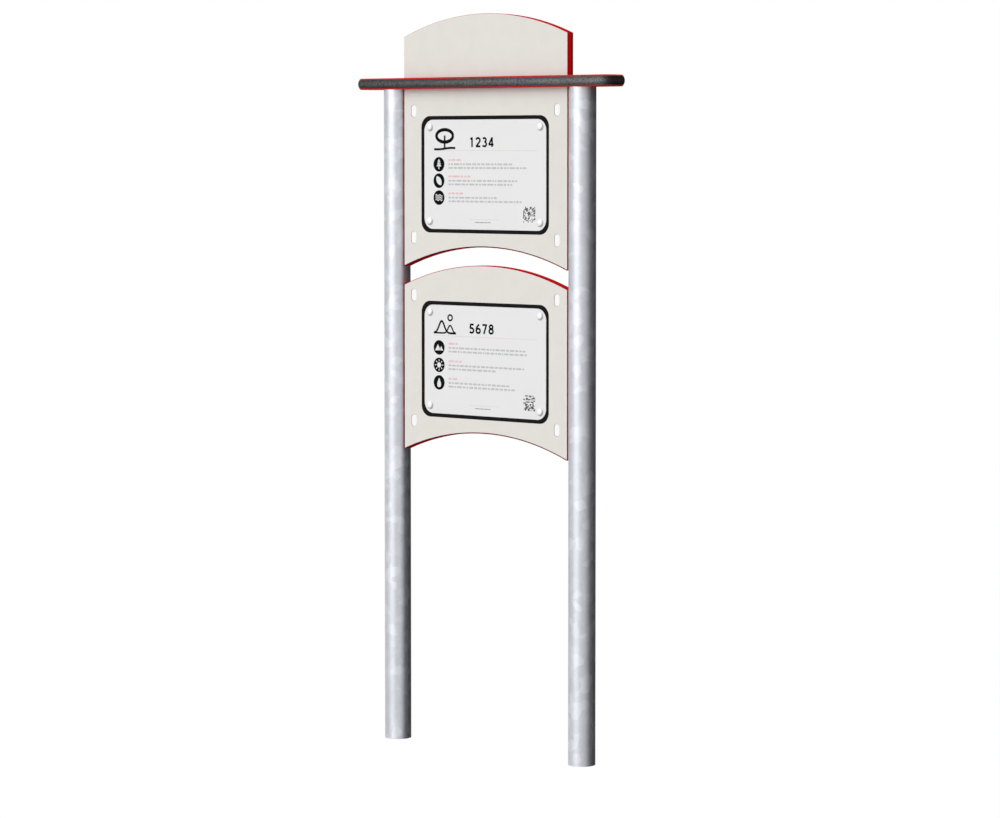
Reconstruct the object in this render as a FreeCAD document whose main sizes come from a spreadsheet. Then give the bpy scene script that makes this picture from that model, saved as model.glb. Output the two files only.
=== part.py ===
import FreeCAD, Part
import math
import os

import Sketcher

# A park interpretation sign, as a parametric document. Two galvanised posts carry a roof board and two
# arched boards, one above the other. Each board holds an information plate in a dark frame.
# The frame of the model: X runs along the sign, Y to its back and Z up. The origin lies on the ground,
# midway between the posts.

# Name, value in millimetres, and what it is
SIZES = (
    ("post_diameter", 76.1, "outside diameter of a post"),
    ("post_wall", 2.9, "wall of a post"),
    ("post_spacing", 688.0, "between the posts' axes"),
    ("post_height", 1872.0, "ground to the roof's underside"),
    ("plug_thickness", 12.0, "steel plug in the top of a post"),
    ("plug_seat", 0.8, "step in the post's inside that the plug stands on"),
    ("plug_play", 0.15, "plug to its seat's wall"),
    ("roof_length", 944.0, "roof board along the sign"),
    ("roof_depth", 90.0, "roof board from front to back"),
    ("roof_thickness", 32.0, "roof board"),
    ("roof_corner", 30.0, "plan radius of the roof's corners"),
    ("roof_crown", 7.0, "how far the roof's rounded edge swells"),
    ("slot_play", 1.0, "roof slot to the board that passes it"),
    ("slot_corner", 2.0, "radius in the roof slot's corners"),
    ("board_thickness", 25.0, "arched boards"),
    ("board_front", 15.0, "posts' axes to the front of the boards"),
    ("board_post_gap", 3.0, "board to the side of a post"),
    ("board_corner", 3.0, "radius at the boards' corners, seen from the front"),
    ("board_edge", 1.5, "radius along the boards' front and back edges"),
    ("arch_radius", 800.0, "curve of the boards' top and bottom"),
    ("lower_centre", 1105.0, "ground to the middle of the lower plate"),
    ("centre_pitch", 525.0, "lower plate to upper plate"),
    ("board_drop", 264.0, "plate's middle to a board's bottom corners"),
    ("lower_rise", 210.0, "plate's middle to the lower board's top corners"),
    ("header_rise", 391.0, "plate's middle to the header's top corners"),
    ("frame_width", 473.0, "dark frame, over all"),
    ("frame_height", 330.0, "dark frame, over all"),
    ("frame_band", 10.0, "width of the frame's bars"),
    ("frame_depth", 5.0, "thickness of the frame and depth of its pocket"),
    ("frame_corner", 32.0, "corner radius of frame and plate"),
    ("frame_play", 0.4, "frame to its pocket"),
    ("frame_bevel", 0.8, "bevel on the frame's front edges"),
    ("plate_thickness", 4.0, "information plate"),
    ("plate_play", 0.3, "plate to frame"),
    ("screw_inset", 21.5, "plate screws from the edge of the plate"),
    ("screw_diameter", 4.0, "plate screws"),
    ("screw_head", 7.6, "head diameter of a plate screw"),
    ("screw_head_height", 2.2, "head height of a plate screw"),
    ("screw_length", 13.5, "plate screws under the head"),
    ("screw_play", 0.25, "screw to the hole in the plate"),
    ("insert_diameter", 6.0, "brass inserts in the boards"),
    ("insert_length", 10.0, "brass inserts in the boards"),
    ("thread_play", 0.05, "between threads, on the radius"),
    ("hole_spare", 1.0, "blind hole past the end of its insert"),
    ("cap_diameter", 22.0, "round cap over a plate screw"),
    ("cap_height", 4.0, "round cap over a plate screw"),
    ("cap_skirt", 0.8, "straight rim of a round cap"),
    ("cap_wall", 1.0, "wall of a round cap"),
    ("fixing_width", 532.0, "board fixings, side to side"),
    ("fixing_height", 360.0, "board fixings, top to bottom"),
    ("recess_width", 20.0, "oblong recess for a board fixing"),
    ("recess_height", 36.0, "oblong recess for a board fixing"),
    ("recess_depth", 16.0, "oblong recess for a board fixing"),
    ("plug_recess", 0.6, "oblong cap behind the board's face"),
    ("plug_gap", 0.3, "oblong cap to its recess"),
    ("plug_depth", 7.0, "oblong cap, over all"),
    ("plug_wall", 1.6, "wall of an oblong cap"),
    ("plug_round", 0.8, "radius on an oblong cap's front edge"),
    ("bolt_diameter", 8.0, "board bolts"),
    ("bolt_play", 0.5, "bolt to its hole"),
    ("bolt_head", 13.0, "head diameter of a board bolt"),
    ("bolt_head_height", 6.0, "head height of a board bolt"),
    ("bolt_socket", 6.0, "hexagon socket of a board bolt, across the flats"),
    ("bolt_socket_depth", 3.5, "hexagon socket of a board bolt"),
    ("bolt_tail", 2.0, "bolt past its nut"),
    ("bolt_chamfer", 0.8, "point of a bolt or screw"),
    ("washer_diameter", 16.0, "washers of the board bolts"),
    ("washer_thickness", 1.6, "washers of the board bolts"),
    ("nut_width", 13.0, "lock nuts, across the flats"),
    ("nut_height", 8.0, "lock nuts"),
    ("lug_thickness", 6.0, "lugs on the posts"),
    ("lug_height", 50.0, "lugs on the posts"),
    ("lug_reach", 25.0, "lug past the bolt"),
    ("lug_corner", 10.0, "free corners of a lug"),
    ("weld_gap", 0.1, "lug to the post"),
    ("roof_bolt", 10.0, "diameter of the roof bolts"),
    ("roof_bolt_head", 20.0, "countersunk head of a roof bolt"),
    ("roof_bolt_sink", 0.5, "roof bolt's head under the roof's face"),
    ("roof_bolt_end", 1.0, "roof bolt's end to its plug's underside"),
    ("roof_socket", 6.0, "hexagon socket of a roof bolt, across the flats"),
    ("roof_socket_depth", 3.6, "hexagon socket of a roof bolt"),
    ("roof_bolt_play", 0.5, "roof bolt to its hole"),
)

doc = FreeCAD.newDocument("ParkSign")
sheet = doc.addObject("Spreadsheet::Sheet", "Dims")
for row, (alias, value, meaning) in enumerate(SIZES, start=1):
    sheet.set(f"A{row}", meaning)
    sheet.set(f"B{row}", str(value))
    sheet.setAlias(f"B{row}", alias)
doc.recompute()

# Sizes that follow from the sheet
POST_X = "Dims.post_spacing / 2"
BOARD_WIDTH = "(Dims.post_spacing - Dims.post_diameter - 2 * Dims.board_post_gap)"
OPENING_WIDTH = "(Dims.frame_width - 2 * Dims.frame_band)"
OPENING_HEIGHT = "(Dims.frame_height - 2 * Dims.frame_band)"
PLATE_WIDTH = f"({OPENING_WIDTH} - 2 * Dims.plate_play)"
PLATE_HEIGHT = f"({OPENING_HEIGHT} - 2 * Dims.plate_play)"
PLATE_FACE = "(Dims.frame_depth - Dims.plate_thickness)"
SCREW_X = f"({PLATE_WIDTH} / 2 - Dims.screw_inset)"
SCREW_Z = f"({PLATE_HEIGHT} / 2 - Dims.screw_inset)"
FIXING_X = "(Dims.fixing_width / 2)"
FIXING_Z = "(Dims.fixing_height / 2)"
LUG_BACK = "(Dims.board_thickness + Dims.lug_thickness)"
UPPER_CENTRE = "Dims.lower_centre + Dims.centre_pitch"
BOLT_FACE = "(Dims.recess_depth - Dims.washer_thickness - Dims.bolt_head_height)"
POST_BORE = "(Dims.post_diameter / 2 - Dims.post_wall)"
PLUG_SEAT = f"({POST_BORE} + Dims.plug_seat)"


def number(text):
    """Gives the value of an expression on the sheet."""
    return float(sheet.evalExpression(text))


def origin_part(body, role):
    """Finds one of the body's own origin planes or axes."""
    return next(item for item in body.Origin.OriginFeatures if item.Role == role)


def new_body(label, x="0", y="0", z="0"):
    body = doc.addObject("PartDesign::Body", label)
    body.Label = label
    body.setExpression("Placement.Base.x", x)
    body.setExpression("Placement.Base.y", y)
    body.setExpression("Placement.Base.z", z)
    return body


def new_sketch(body, role, name, x="0", y="0", z="0"):
    """Puts a sketch on an origin plane of the body, moved by x and y in it and by z along its normal."""
    sketch = body.newObject("Sketcher::SketchObject", name)
    sketch.AttachmentSupport = (origin_part(body, role), [""])
    sketch.MapMode = "FlatFace"
    sketch.setExpression("AttachmentOffset.Base.x", x)
    sketch.setExpression("AttachmentOffset.Base.y", y)
    sketch.setExpression("AttachmentOffset.Base.z", z)
    return sketch


def hold(sketch, geometry, position, x, y):
    """Holds a point of the sketch at x and y, which are expressions. A bare 0 puts it on the axis."""
    for kind, axis, text in (("DistanceX", -2, x), ("DistanceY", -1, y)):
        if text is None:
            continue
        if text == "0":
            sketch.addConstraint(Sketcher.Constraint("PointOnObject", geometry, position, axis))
            continue
        index = sketch.addConstraint(Sketcher.Constraint(kind, -1, 1, geometry, position, number(text)))
        sketch.setExpression(f"Constraints[{index}]", text)


def draw_outline(sketch, corners, arcs=None):
    """Draws a closed outline through corners, which are pairs of expressions.

    arcs maps the corner where an arc starts to (centre x, centre y, turn). The turn is 1 where the arc
    runs anticlockwise from that corner to the next, and -1 where it runs clockwise.
    """
    arcs = arcs or {}
    points = [FreeCAD.Vector(number(x), number(y), 0) for x, y in corners]
    count = len(points)
    first = sketch.GeometryCount
    for i, point in enumerate(points):
        following = points[(i + 1) % count]
        if i not in arcs:
            sketch.addGeometry(Part.LineSegment(point, following), False)
            continue
        centre = FreeCAD.Vector(number(arcs[i][0]), number(arcs[i][1]), 0)
        start, end = (point, following) if arcs[i][2] > 0 else (following, point)
        radius = (start - centre).Length
        circle = Part.Circle(centre, FreeCAD.Vector(0, 0, 1), radius)
        start_angle = math.atan2(start.y - centre.y, start.x - centre.x)
        end_angle = math.atan2(end.y - centre.y, end.x - centre.x)
        if end_angle <= start_angle:
            end_angle += 2 * math.pi
        sketch.addGeometry(Part.ArcOfCircle(circle, start_angle, end_angle), False)
    for i, (x, y) in enumerate(corners):
        before = (i - 1) % count
        reach = 1 if before in arcs and arcs[before][2] < 0 else 2
        leave = 2 if i in arcs and arcs[i][2] < 0 else 1
        sketch.addConstraint(Sketcher.Constraint("Coincident", first + before, reach, first + i, leave))
        hold(sketch, first + i, leave, x, y)
    for i, (x, y, _turn) in arcs.items():
        upright = abs(points[i].x - points[(i + 1) % count].x) < Part.Precision.confusion()
        hold(sketch, first + i, 3, x if upright else None, None if upright else y)


def draw_circle(sketch, x, y, radius):
    centre = FreeCAD.Vector(number(x), number(y), 0)
    circle = Part.Circle(centre, FreeCAD.Vector(0, 0, 1), number(radius))
    geometry = sketch.addGeometry(circle, False)
    hold(sketch, geometry, 3, x, y)
    index = sketch.addConstraint(Sketcher.Constraint("Radius", geometry, number(radius)))
    sketch.setExpression(f"Constraints[{index}]", radius)


def rounded_rectangle(width, height, corner):
    """Gives the corners and arcs of a rectangle about the sketch's origin, anticlockwise."""
    x = f"({width}) / 2"
    y = f"({height}) / 2"
    inner_x = f"({x} - ({corner}))"
    inner_y = f"({y} - ({corner}))"
    corners = [
        (f"-{inner_x}", f"-{y}"), (inner_x, f"-{y}"), (x, f"-{inner_y}"), (x, inner_y),
        (inner_x, y), (f"-{inner_x}", y), (f"-({x})", inner_y), (f"-({x})", f"-{inner_y}"),
    ]
    arcs = {
        1: (inner_x, f"-{inner_y}", 1),
        3: (inner_x, inner_y, 1),
        5: (f"-{inner_x}", inner_y, 1),
        7: (f"-{inner_x}", f"-{inner_y}", 1),
    }
    return corners, arcs


def stadium(width, height):
    """Gives an upright oblong with half-round ends, about the sketch's origin."""
    x = f"({width}) / 2"
    y = f"(({height}) / 2 - ({width}) / 2)"
    corners = [(x, f"-{y}"), (x, y), (f"-({x})", y), (f"-({x})", f"-{y}")]
    return corners, {1: ("0", y, 1), 3: ("0", f"-{y}", 1)}


def hexagon_corners(flats):
    """Gives the corners of a hexagon about the sketch's origin, from its width across the flats."""
    flat = f"({flats}) / 2"
    point = f"(({flats}) / sqrt(3))"
    side = f"{point} / 2"
    return [
        (flat, f"-{side}"), (flat, side), ("0", point),
        (f"-{flat}", side), (f"-{flat}", f"-{side}"), ("0", f"-{point}"),
    ]


def pad(body, sketch, length, reverse=False):
    feature = body.newObject("PartDesign::Pad", "Pad")
    feature.Profile = sketch
    feature.setExpression("Length", length)
    feature.Reversed = reverse
    doc.recompute()
    return feature


def pocket(body, sketch, depth=None, reverse=False):
    """Cuts a pocket of the given depth, or right through if none is given, and checks that it cuts."""
    before = body.Shape.Volume
    feature = body.newObject("PartDesign::Pocket", "Pocket")
    feature.Profile = sketch
    feature.Reversed = reverse
    if depth is None:
        feature.Type = "ThroughAll"
    else:
        feature.setExpression("Length", depth)
    doc.recompute()
    assert feature.Shape.Volume < before, f"{body.Label}: a pocket cuts nothing"
    return feature


def revolution(body, sketch, groove=False):
    feature = body.newObject("PartDesign::Groove" if groove else "PartDesign::Revolution", "Turned")
    feature.Profile = sketch
    feature.ReferenceAxis = (sketch, ["V_Axis"])
    feature.Angle = 360
    doc.recompute()
    return feature


def mirror_features(body, features, roles, pitch=None):
    """Repeats features by mirror images in origin planes, and then up the Z axis by pitch."""
    pattern = body.newObject("PartDesign::MultiTransform", "Pattern")
    pattern.Originals = features
    steps = []
    for role in roles:
        step = body.newObject("PartDesign::Mirrored", "Mirror")
        step.MirrorPlane = (origin_part(body, role), [""])
        steps.append(step)
    if pitch:
        step = body.newObject("PartDesign::LinearPattern", "Pitch")
        step.Direction = (origin_part(body, "Z_Axis"), [""])
        step.setExpression("Length", pitch)
        step.Occurrences = 2
        steps.append(step)
    pattern.Transformations = steps
    body.Tip = pattern
    doc.recompute()
    return pattern


def ease_edges(body, kind, size, wanted):
    """Rounds or bevels the edges of the body's last feature that wanted picks by their middle point."""
    base = body.Tip
    names = []
    for index, edge in enumerate(base.Shape.Edges, start=1):
        middle = edge.valueAt((edge.FirstParameter + edge.LastParameter) / 2)
        if wanted(middle):
            names.append(f"Edge{index}")
    feature = body.newObject(f"PartDesign::{kind}", kind)
    feature.Base = (base, names)
    feature.setExpression("Radius" if kind == "Fillet" else "Size", size)
    body.Tip = feature
    doc.recompute()
    return feature


def at_depth(depth):
    """Picks the points that lie at a depth behind the front of the board."""
    level = number(depth)
    return lambda point: abs(point.y - level) < Part.Precision.confusion()


def board_body(label, centre):
    """Makes a body whose origin is the middle of a plate, on the front face of its board."""
    return new_body(label, y="-Dims.board_front", z=centre)


def turned_fixing(label, centre, x, z, profile):
    """Turns four like pieces about axes through the board, at x and z either side of the plate's middle.

    The profile runs through pairs of radius and depth behind the board's front.
    """
    body = board_body(label, centre)
    sketch = new_sketch(body, "XY_Plane", "Profile", x=x, z=z)
    draw_outline(sketch, *profile)
    turned = revolution(body, sketch)
    mirror_features(body, [turned], ["YZ_Plane", "XY_Plane"])
    return body


def make_board_bolts(label, centre):
    """The cap screws through board and lug, each with a hexagon socket in its head."""
    body = board_body(label, centre)
    profile = new_sketch(body, "XY_Plane", "Profile", x=FIXING_X, z=FIXING_Z)
    draw_outline(profile, *bolt_profile())
    turned = revolution(body, profile)
    hexagon = new_sketch(body, "XZ_Plane", "Socket", x=FIXING_X, y=FIXING_Z, z=f"-{BOLT_FACE}")
    draw_outline(hexagon, hexagon_corners("Dims.bolt_socket"))
    socket = pocket(body, hexagon, "Dims.bolt_socket_depth")
    mirror_features(body, [turned, socket], ["YZ_Plane", "XY_Plane"])
    return body


def ring_profile(inner, outer, front, back):
    """Gives the profile of a washer, bush or insert."""
    return ([(inner, front), (outer, front), (outer, back), (inner, back)],)


def make_post(label, x):
    """A tube, open at its foot, with its top bored out as a seat for the plug."""
    body = new_body(label, x=x)
    section = new_sketch(body, "XY_Plane", "Section")
    draw_circle(section, "0", "0", "Dims.post_diameter / 2")
    draw_circle(section, "0", "0", POST_BORE)
    pad(body, section, "Dims.post_height")
    seat = new_sketch(body, "XY_Plane", "Seat", z="Dims.post_height")
    draw_circle(seat, "0", "0", PLUG_SEAT)
    pocket(body, seat, "Dims.plug_thickness")
    return body


def make_post_plugs():
    """The tapped plugs that close the tops of the posts and take the roof bolts."""
    body = new_body("post_top_plugs", z="Dims.post_height")
    sketch = new_sketch(body, "XZ_Plane", "Profile", x=POST_X)
    outer = f"{PLUG_SEAT} - Dims.plug_play"
    inner = "Dims.roof_bolt / 2 + Dims.thread_play"
    draw_outline(sketch, *ring_profile(inner, outer, "-Dims.plug_thickness", "0"))
    turned = revolution(body, sketch)
    mirror_features(body, [turned], ["YZ_Plane"])
    return body


def make_right_lugs():
    """The four lugs welded behind the boards on the right post, each with a hole for a board bolt."""
    body = new_body("right_lugs", y="Dims.board_thickness - Dims.board_front", z="Dims.lower_centre")
    free = f"({FIXING_X} - Dims.lug_reach)"
    bend = f"({free} + Dims.lug_corner)"
    low = f"({FIXING_Z} - Dims.lug_height / 2)"
    high = f"({FIXING_Z} + Dims.lug_height / 2)"
    inner_low = f"({low} + Dims.lug_corner)"
    inner_high = f"({high} - Dims.lug_corner)"
    corners = [
        (bend, low), (POST_X, low), (POST_X, high),
        (bend, high), (free, inner_high), (free, inner_low),
    ]
    arcs = {3: (bend, inner_high, 1), 5: (bend, inner_low, 1)}
    outline = new_sketch(body, "XZ_Plane", "Outline")
    draw_outline(outline, corners, arcs)
    draw_circle(outline, FIXING_X, FIXING_Z, "Dims.bolt_diameter / 2 + Dims.bolt_play")
    lug = pad(body, outline, "Dims.lug_thickness", reverse=True)
    mirror_features(body, [lug], ["XY_Plane"], pitch="Dims.centre_pitch")
    post = new_sketch(body, "XY_Plane", "Post")
    axis = "Dims.board_front - Dims.board_thickness"
    draw_circle(post, POST_X, axis, "Dims.post_diameter / 2 + Dims.weld_gap")
    trim = pocket(body, post)
    trim.Midplane = True
    doc.recompute()
    return body


def make_left_lugs(right_lugs):
    mirrored = doc.addObject("Part::Mirroring", "left_lugs")
    mirrored.Label = "left_lugs"
    mirrored.Source = right_lugs
    mirrored.Normal = FreeCAD.Vector(1, 0, 0)
    return mirrored


def make_roof():
    """The roof board: a flat board with crowned edges, a slot for the upper board and two bolt holes."""
    body = new_body("roof_board", z="Dims.post_height")
    length = "Dims.roof_length - 2 * Dims.roof_crown"
    depth = "Dims.roof_depth - 2 * Dims.roof_crown"
    corner = "Dims.roof_corner - Dims.roof_crown"
    plan = new_sketch(body, "XY_Plane", "Plan")
    draw_outline(plan, *rounded_rectangle(length, depth, corner))
    pad(body, plan, "Dims.roof_thickness")

    # The crown is an arc over the board's whole thickness, carried round the plan outline
    route = new_sketch(body, "XY_Plane", "Route")
    corners, arcs = rounded_rectangle(length, depth, corner)
    corners.insert(1, ("0", f"-({depth}) / 2"))
    draw_outline(route, corners, {index + 1: arc for index, arc in arcs.items()})
    crown = new_sketch(body, "YZ_Plane", "Crown")
    chord = f"-({depth}) / 2"
    inside = f"({chord} + Dims.roof_crown)"
    swell = "((Dims.roof_thickness / 2) ^ 2 + Dims.roof_crown ^ 2) / (2 * Dims.roof_crown)"
    centre = f"(-Dims.roof_depth / 2 + {swell})"
    profile = [(chord, "0"), (inside, "0"), (inside, "Dims.roof_thickness"), (chord, "Dims.roof_thickness")]
    draw_outline(crown, profile, {3: (centre, "Dims.roof_thickness / 2", 1)})
    doc.recompute()
    pipe = body.newObject("PartDesign::AdditivePipe", "Edge")
    pipe.Profile = crown
    pipe.Spine = (route, [f"Edge{index}" for index in range(1, len(corners) + 1)])
    body.Tip = pipe
    doc.recompute()

    slot_width = f"({BOARD_WIDTH} + 2 * Dims.slot_play)"
    slot_depth = "(Dims.board_thickness + 2 * Dims.slot_play)"
    slot = new_sketch(body, "XY_Plane", "Slot", y="Dims.board_thickness / 2 - Dims.board_front")
    draw_outline(slot, *rounded_rectangle(slot_width, slot_depth, "Dims.slot_corner"))
    pocket(body, slot, reverse=True)

    seat = "(Dims.roof_thickness - Dims.roof_bolt_head / 2 + Dims.roof_bolt / 2)"
    clear = "(Dims.roof_bolt / 2 + Dims.roof_bolt_play)"
    hole = new_sketch(body, "XZ_Plane", "BoltHole", x=POST_X)
    draw_outline(hole, [
        ("0", "0"), (clear, "0"), (clear, f"{seat} + Dims.roof_bolt_play"),
        ("Dims.roof_bolt_head / 2", "Dims.roof_thickness"), ("0", "Dims.roof_thickness"),
    ])
    groove = revolution(body, hole, groove=True)
    mirror_features(body, [groove], ["YZ_Plane"])
    return body


def make_roof_bolts():
    body = new_body("roof_bolts", z="Dims.post_height")
    top = "(Dims.roof_thickness - Dims.roof_bolt_sink)"
    head = "(Dims.roof_bolt_head / 2 - Dims.roof_bolt_sink)"
    neck = f"({top} - {head} + Dims.roof_bolt / 2)"
    end = "(-Dims.plug_thickness + Dims.roof_bolt_end)"
    sketch = new_sketch(body, "XZ_Plane", "Profile", x=POST_X)
    draw_outline(sketch, [
        ("0", end), ("Dims.roof_bolt / 2 - Dims.bolt_chamfer", end),
        ("Dims.roof_bolt / 2", f"{end} + Dims.bolt_chamfer"), ("Dims.roof_bolt / 2", neck),
        (head, top), ("0", top),
    ])
    turned = revolution(body, sketch)
    hexagon = new_sketch(body, "XY_Plane", "Socket", x=POST_X, z=top)
    draw_outline(hexagon, hexagon_corners("Dims.roof_socket"))
    socket = pocket(body, hexagon, "Dims.roof_socket_depth")
    mirror_features(body, [turned, socket], ["YZ_Plane"])
    return body


def make_board(label, centre, rise):
    """An arched board: convex on top and hollow below, with a pocket for the frame and its fixing holes."""
    body = board_body(label, centre)
    x = f"({BOARD_WIDTH} / 2)"
    bottom = "-Dims.board_drop"
    fall = f"sqrt(Dims.arch_radius ^ 2 - {x} ^ 2)"
    corners = [(f"-{x}", bottom), (x, bottom), (x, rise), (f"-{x}", rise)]
    arcs = {0: ("0", f"{bottom} - {fall}", -1), 2: ("0", f"{rise} - {fall}", 1)}
    outline = new_sketch(body, "XZ_Plane", "Outline")
    draw_outline(outline, corners, arcs)
    pad(body, outline, "Dims.board_thickness", reverse=True)
    ease_edges(body, "Fillet", "Dims.board_corner", at_depth("Dims.board_thickness / 2"))
    front = at_depth("0")
    back = at_depth("Dims.board_thickness")
    ease_edges(body, "Fillet", "Dims.board_edge", lambda point: front(point) or back(point))

    bed = new_sketch(body, "XZ_Plane", "FramePocket")
    width = "Dims.frame_width + 2 * Dims.frame_play"
    height = "Dims.frame_height + 2 * Dims.frame_play"
    draw_outline(bed, *rounded_rectangle(width, height, "Dims.frame_corner + Dims.frame_play"))
    pocket(body, bed, "Dims.frame_depth")

    recess = new_sketch(body, "XZ_Plane", "FixingRecess", x=FIXING_X, y=FIXING_Z)
    draw_outline(recess, *stadium("Dims.recess_width", "Dims.recess_height"))
    recess_pocket = pocket(body, recess, "Dims.recess_depth")
    bolt = new_sketch(body, "XZ_Plane", "BoltHole")
    draw_circle(bolt, FIXING_X, FIXING_Z, "Dims.bolt_diameter / 2 + Dims.bolt_play")
    bolt_pocket = pocket(body, bolt)
    insert = new_sketch(body, "XZ_Plane", "InsertHole")
    draw_circle(insert, SCREW_X, SCREW_Z, "Dims.insert_diameter / 2 + Dims.thread_play")
    insert_pocket = pocket(body, insert, "Dims.frame_depth + Dims.insert_length + Dims.hole_spare")
    mirror_features(body, [recess_pocket, bolt_pocket, insert_pocket], ["YZ_Plane", "XY_Plane"])
    return body


def make_frame(label, centre):
    """The dark frame round a plate. Its opening has the same corner radius as its outside."""
    body = board_body(label, centre)
    sketch = new_sketch(body, "XZ_Plane", "Ring")
    draw_outline(sketch, *rounded_rectangle("Dims.frame_width", "Dims.frame_height", "Dims.frame_corner"))
    draw_outline(sketch, *rounded_rectangle(OPENING_WIDTH, OPENING_HEIGHT, "Dims.frame_corner"))
    pad(body, sketch, "Dims.frame_depth", reverse=True)
    ease_edges(body, "Chamfer", "Dims.frame_bevel", at_depth("0"))
    return body


def make_plate(label, centre):
    """The information plate, held in the frame against the floor of the pocket by four screws."""
    body = board_body(label, centre)
    sketch = new_sketch(body, "XZ_Plane", "Plate", z=f"-{PLATE_FACE}")
    draw_outline(sketch, *rounded_rectangle(PLATE_WIDTH, PLATE_HEIGHT, "Dims.frame_corner - Dims.plate_play"))
    for side in ("", "-"):
        for level in ("", "-"):
            x = f"{side}{SCREW_X}"
            y = f"{level}{SCREW_Z}"
            draw_circle(sketch, x, y, "Dims.screw_diameter / 2 + Dims.screw_play")
    pad(body, sketch, "Dims.plate_thickness", reverse=True)
    return body


def make_fixing_caps(label, centre):
    """The oblong cup-shaped caps that close the recesses over the board bolts."""
    body = board_body(label, centre)
    width = "Dims.recess_width - 2 * Dims.plug_gap"
    height = "Dims.recess_height - 2 * Dims.plug_gap"
    face = new_sketch(body, "XZ_Plane", "Face", x=FIXING_X, y=FIXING_Z, z="-Dims.plug_recess")
    draw_outline(face, *stadium(width, height))
    cup = pad(body, face, "Dims.plug_depth", reverse=True)
    back = "-Dims.plug_recess - Dims.plug_depth"
    inside = new_sketch(body, "XZ_Plane", "Inside", x=FIXING_X, y=FIXING_Z, z=back)
    draw_outline(inside, *stadium(f"{width} - 2 * Dims.plug_wall", f"{height} - 2 * Dims.plug_wall"))
    hollow = pocket(body, inside, "Dims.plug_depth - Dims.plug_wall", reverse=True)
    mirror_features(body, [cup, hollow], ["YZ_Plane", "XY_Plane"])
    ease_edges(body, "Fillet", "Dims.plug_round", at_depth("Dims.plug_recess"))
    return body


def cap_profile():
    """A hollow dome: two arcs about one centre on the axis, a wall apart, over a short straight rim."""
    outer = "Dims.cap_diameter / 2"
    inner = f"({outer} - Dims.cap_wall)"
    rise = "(Dims.cap_height - Dims.cap_skirt)"
    curve = f"((({outer}) ^ 2 + {rise} ^ 2) / (2 * {rise}))"
    centre = f"({PLATE_FACE} - Dims.cap_height + {curve})"
    inner_rim = f"({centre} - sqrt(({curve} - Dims.cap_wall) ^ 2 - {inner} ^ 2))"
    corners = [
        ("0", f"{PLATE_FACE} - Dims.cap_height"),
        (outer, f"{PLATE_FACE} - Dims.cap_skirt"),
        (outer, PLATE_FACE),
        (inner, PLATE_FACE),
        (inner, inner_rim),
        ("0", f"{PLATE_FACE} - Dims.cap_height + Dims.cap_wall"),
    ]
    return corners, {0: ("0", centre, 1), 4: ("0", centre, -1)}


def screw_profile():
    head = "Dims.screw_head / 2"
    shank = "Dims.screw_diameter / 2"
    end = f"{PLATE_FACE} + Dims.screw_length"
    return ([
        ("0", f"{PLATE_FACE} - Dims.screw_head_height"),
        (shank, f"{PLATE_FACE} - Dims.screw_head_height"),
        (head, PLATE_FACE),
        (shank, PLATE_FACE),
        (shank, f"{end} - Dims.bolt_chamfer"),
        (f"{shank} - Dims.bolt_chamfer", end),
        ("0", end),
    ],)


def bolt_profile():
    head = "Dims.bolt_head / 2"
    shank = "Dims.bolt_diameter / 2"
    seat = "Dims.recess_depth - Dims.washer_thickness"
    end = f"({LUG_BACK} + Dims.washer_thickness + Dims.nut_height + Dims.bolt_tail)"
    return ([
        ("0", BOLT_FACE),
        (f"{head} - Dims.bolt_chamfer", BOLT_FACE),
        (head, f"{BOLT_FACE} + Dims.bolt_chamfer"),
        (head, seat),
        (shank, seat),
        (shank, f"{end} - Dims.bolt_chamfer"),
        (f"{shank} - Dims.bolt_chamfer", end),
        ("0", end),
    ],)


def make_nuts(label, centre):
    """The lock nuts on the board bolts, behind the lugs."""
    body = board_body(label, centre)
    depth = f"-{LUG_BACK} - Dims.washer_thickness"
    sketch = new_sketch(body, "XZ_Plane", "Hexagon", x=FIXING_X, y=FIXING_Z, z=depth)
    draw_outline(sketch, hexagon_corners("Dims.nut_width"))
    draw_circle(sketch, "0", "0", "Dims.bolt_diameter / 2 + Dims.thread_play")
    nut = pad(body, sketch, "Dims.nut_height", reverse=True)
    mirror_features(body, [nut], ["YZ_Plane", "XY_Plane"])
    return body


def make_station(name, centre, rise):
    """One arched board with its plate, frame, caps and fasteners."""
    washer_hole = "Dims.bolt_diameter / 2 + Dims.bolt_play"
    washer_rim = "Dims.washer_diameter / 2"
    front_washer = ring_profile(
        washer_hole, washer_rim, "Dims.recess_depth - Dims.washer_thickness", "Dims.recess_depth")
    back_washer = ring_profile(washer_hole, washer_rim, LUG_BACK, f"{LUG_BACK} + Dims.washer_thickness")
    insert = ring_profile(
        "Dims.screw_diameter / 2 + Dims.thread_play", "Dims.insert_diameter / 2",
        "Dims.frame_depth", "Dims.frame_depth + Dims.insert_length")
    return [
        make_board(f"{name}_board", centre, rise),
        make_frame(f"{name}_plate_frame", centre),
        make_plate(f"{name}_info_plate", centre),
        turned_fixing(f"{name}_plate_inserts", centre, SCREW_X, SCREW_Z, insert),
        turned_fixing(f"{name}_plate_screws", centre, SCREW_X, SCREW_Z, screw_profile()),
        turned_fixing(f"{name}_screw_caps", centre, SCREW_X, SCREW_Z, cap_profile()),
        make_board_bolts(f"{name}_board_bolts", centre),
        turned_fixing(f"{name}_front_washers", centre, FIXING_X, FIXING_Z, front_washer),
        turned_fixing(f"{name}_back_washers", centre, FIXING_X, FIXING_Z, back_washer),
        make_nuts(f"{name}_lock_nuts", centre),
        make_fixing_caps(f"{name}_fixing_caps", centre),
    ]


def check(obj):
    """Stops the build if an object of the document failed."""
    assert not {"Invalid", "Error"} & set(obj.State), f"{obj.Label}: {obj.State}"


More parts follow.
